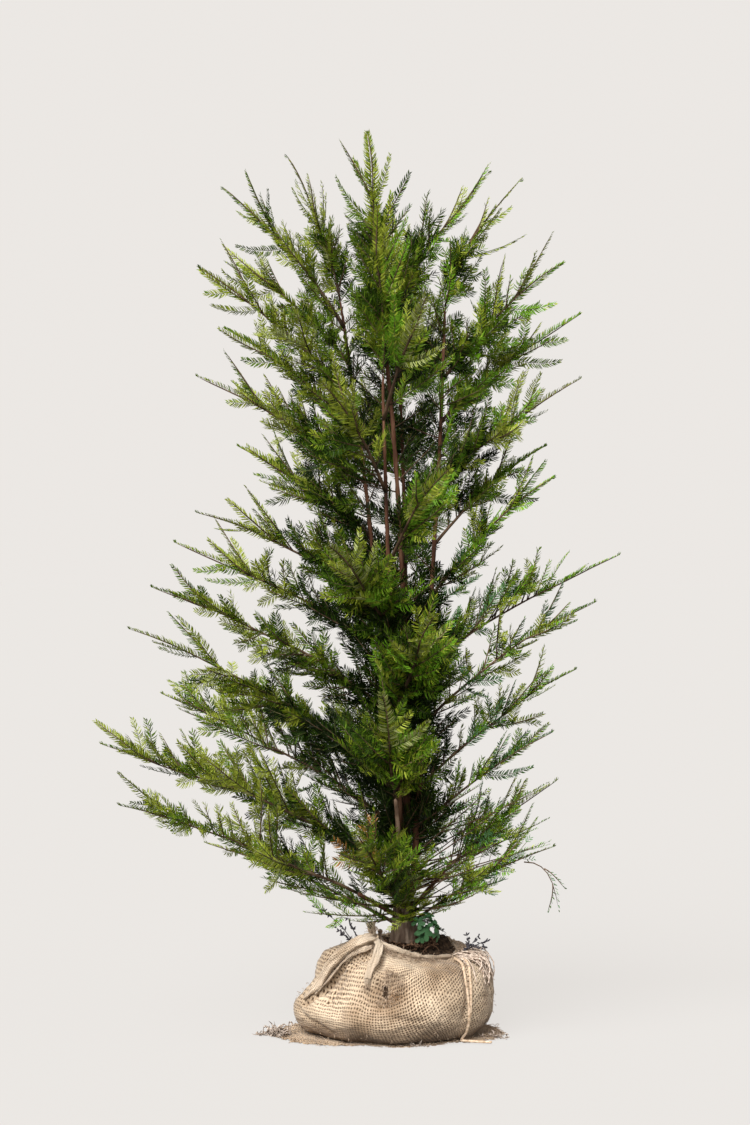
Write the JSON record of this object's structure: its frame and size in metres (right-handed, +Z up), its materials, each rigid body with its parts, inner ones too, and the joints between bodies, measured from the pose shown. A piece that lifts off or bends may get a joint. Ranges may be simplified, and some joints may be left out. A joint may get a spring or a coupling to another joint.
{
  "type": "yew sapling with root ball",
  "caption": "Young upright yew of several stems, its branches full of needle sprays, standing on a root ball tied in jute cloth.",
  "frame": {"origin": "the middle of the root ball's flat underside, on the ground that it stands on", "axes": "+Z is up, along the stems; the front, with the cloth's knot, is -Y; +X is to the right of someone who looks at the front"},
  "size_m": [1.0523, 0.7325, 1.821],
  "materials": {
    "needles": "satin green needles",
    "bark": "flaking red-brown bark",
    "soil": "rough dark soil",
    "jute": "coarse open-weave jute",
    "twine": "pale jute twine"
  },
  "bodies": {
    "root": {"cloth_wrap": "jute", "soil_ball": "soil", "twine": "twine", "skirt": "jute", "bole": "bark", "stem_leader": "bark", "stem_left": "bark", "stem_right": "bark", "stem_front": "bark", "stem_back": "bark", "mass_top_leader": "needles", "mass_top_left": "needles", "mass_top_right": "needles", "mass_top_front": "needles", "mass_top_back": "needles", "mass_left_1": "needles", "mass_left_2": "needles", "mass_left_3": "needles", "mass_left_4": "needles", "mass_left_5": "needles", "mass_left_6": "needles", "mass_left_7": "needles", "mass_left_8": "needles", "mass_left_9": "needles", "mass_left_10": "needles", "bough_left_11": "bark", "mass_left_11": "needles", "bough_left_12": "bark", "mass_left_12": "needles", "bough_left_13": "bark", "mass_left_13": "needles", "mass_left_14": "needles", "mass_right_1": "needles", "mass_right_2": "needles", "mass_right_3": "needles", "mass_right_4": "needles", "mass_right_5": "needles", "mass_right_6": "needles", "mass_right_7": "needles", "mass_right_8": "needles", "mass_right_9": "needles", "mass_right_10": "needles", "bough_right_11": "bark", "mass_right_11": "needles", "mass_right_12": "needles", "mass_front_1": "needles", "mass_front_2": "needles", "mass_front_3": "needles", "mass_front_4": "needles", "mass_front_5": "needles", "bough_front_6": "bark", "mass_front_6": "needles", "mass_front_7": "needles", "mass_back_1": "needles", "mass_back_2": "needles", "mass_back_3": "needles", "mass_back_4": "needles", "mass_back_5": "needles", "mass_back_6": "needles", "mass_back_7": "needles"}
  },
  "joints": []
}
